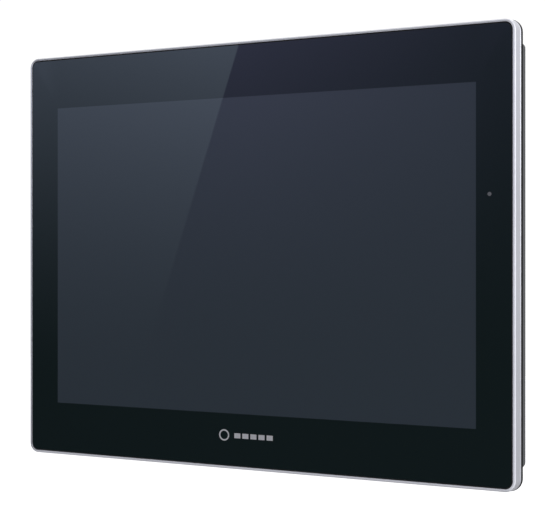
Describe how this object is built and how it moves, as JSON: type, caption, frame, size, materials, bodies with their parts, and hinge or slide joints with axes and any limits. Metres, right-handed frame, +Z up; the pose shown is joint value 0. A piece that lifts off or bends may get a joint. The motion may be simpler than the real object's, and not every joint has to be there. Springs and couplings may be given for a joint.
{
  "type": "operator touch panel",
  "caption": "Flush touch display for a cabinet door: flat black glass in a thin metal frame, finned rear housing, and a row of connectors along the bottom.",
  "frame": {"origin": "centre of the cabinet cut-out, on the plane of the cabinet door's front face, where the seal's rear face sits", "axes": "+X to the right as the operator sees it, +Y from the operator into the cabinet, +Z up"},
  "size_m": [0.366, 0.0538, 0.294],
  "materials": {
    "silver_trim": "satin anodised",
    "front_glass": "glossy, back-printed black border",
    "clear_film": "clear",
    "tape_black": "foam tape",
    "carrier_black": "fine moulded grain",
    "seal_rubber": "closed-cell foam",
    "bright_steel": "plated sheet",
    "display_glass": "satin polariser",
    "white_film": "satin",
    "led_strip": "satin",
    "zinc_screws": "zinc plated",
    "clear_plastic": "clear moulded",
    "board_green": "solder mask",
    "brass_parts": "machined",
    "housing_grey": "die cast, fine powder coat",
    "door_grey": "fine moulded grain",
    "black_screws": "black oxide",
    "label_silver": "satin, blank",
    "chip_black": "moulded",
    "pad_blue": "soft gap pad",
    "bare_aluminium": "milled",
    "flex_amber": "polyimide flex",
    "dip_red": "moulded",
    "lever_white": "moulded",
    "button_red": "moulded",
    "terminal_green": "moulded"
  },
  "bodies": {
    "panel": {"trim_frame": "silver_trim", "cover_glass": "front_glass", "touch_sensor": "clear_film", "bonding_tape": "tape_black", "front_carrier": "carrier_black", "panel_seal": "seal_rubber", "lcd_frame": "bright_steel", "lcd_cell": "display_glass", "diffuser_stack": "white_film", "light_guide": "clear_film", "led_bars": "led_strip", "lcd_back_tray": "bright_steel", "lcd_brackets": "bright_steel", "bracket_screws": "zinc_screws", "indicator_light_pipe": "clear_plastic", "indicator_board": "board_green", "mounting_plate": "bright_steel", "plate_screws": "zinc_screws", "cover_standoffs": "brass_parts", "rear_housing": "housing_grey", "cover_screws": "black_screws", "mount_inserts": "brass_parts", "rating_plate": "label_silver", "io_plate": "bright_steel", "main_board": "board_green", "board_standoffs": "brass_parts", "board_screws": "zinc_screws", "board_chips": "chip_black", "power_coils": "chip_black", "thermal_pads": "pad_blue", "heat_spreader": "bare_aluminium", "power_board": "board_green", "power_board_parts": "chip_black", "touch_board": "board_green", "touch_ribbon": "flex_amber", "display_ribbon": "white_film", "battery_holder": "chip_black", "coin_cell": "zinc_screws", "ethernet_jack_1": "bright_steel", "ethernet_jack_2": "bright_steel", "usb_ports": "bright_steel", "serial_plug": "bright_steel", "serial_socket": "bright_steel", "jack_posts": "bright_steel", "card_slot": "bright_steel", "dip_switch": "dip_red", "reset_switch": "chip_black", "power_header": "terminal_green", "ground_screw": "brass_parts", "hinge_pin": "zinc_screws"},
    "power_plug": {"power_plug": "terminal_green"},
    "clamp_screw_1": {"clamp_screw_1": "zinc_screws"},
    "clamp_screw_2": {"clamp_screw_2": "zinc_screws"},
    "clamp_screw_3": {"clamp_screw_3": "zinc_screws"},
    "dip_lever_1": {"dip_lever_1": "lever_white"},
    "dip_lever_2": {"dip_lever_2": "lever_white"},
    "dip_lever_3": {"dip_lever_3": "lever_white"},
    "dip_lever_4": {"dip_lever_4": "lever_white"},
    "reset_button": {"reset_button": "button_red"},
    "service_door": {"service_door": "door_grey"}
  },
  "joints": [
    {"name": "power_plug_pull", "type": "slide", "parent": "panel", "child": "power_plug", "axis": [0, 0, -1], "range_m": [0, 0.012]},
    {"name": "clamp_screw_1_turn", "type": "hinge", "parent": "power_plug", "child": "clamp_screw_1", "pos_m": [-0.11808, 0.032, -0.1335], "axis": [0, 1, 0], "continuous": true},
    {"name": "clamp_screw_2_turn", "type": "hinge", "parent": "power_plug", "child": "clamp_screw_2", "pos_m": [-0.113, 0.032, -0.1335], "axis": [0, 1, 0], "continuous": true},
    {"name": "clamp_screw_3_turn", "type": "hinge", "parent": "power_plug", "child": "clamp_screw_3", "pos_m": [-0.10792, 0.032, -0.1335], "axis": [0, 1, 0], "continuous": true},
    {"name": "dip_lever_1_slide", "type": "slide", "parent": "panel", "child": "dip_lever_1", "axis": [0, 1, 0], "range_m": [0, 0.0014]},
    {"name": "dip_lever_2_slide", "type": "slide", "parent": "panel", "child": "dip_lever_2", "axis": [0, 1, 0], "range_m": [0, 0.0014]},
    {"name": "dip_lever_3_slide", "type": "slide", "parent": "panel", "child": "dip_lever_3", "axis": [0, 1, 0], "range_m": [0, 0.0014]},
    {"name": "dip_lever_4_slide", "type": "slide", "parent": "panel", "child": "dip_lever_4", "axis": [0, 1, 0], "range_m": [0, 0.0014]},
    {"name": "reset_button_press", "type": "slide", "parent": "panel", "child": "reset_button", "axis": [0, 0, 1], "range_m": [0, 0.0006], "stiffness_N_per_m": 300, "springref_m": -0.001},
    {"name": "service_door_hinge", "type": "hinge", "parent": "panel", "child": "service_door", "pos_m": [0.0778, 0.039, -0.062], "axis": [0, 0, 1], "range_deg": [0, 105]}
  ]
}
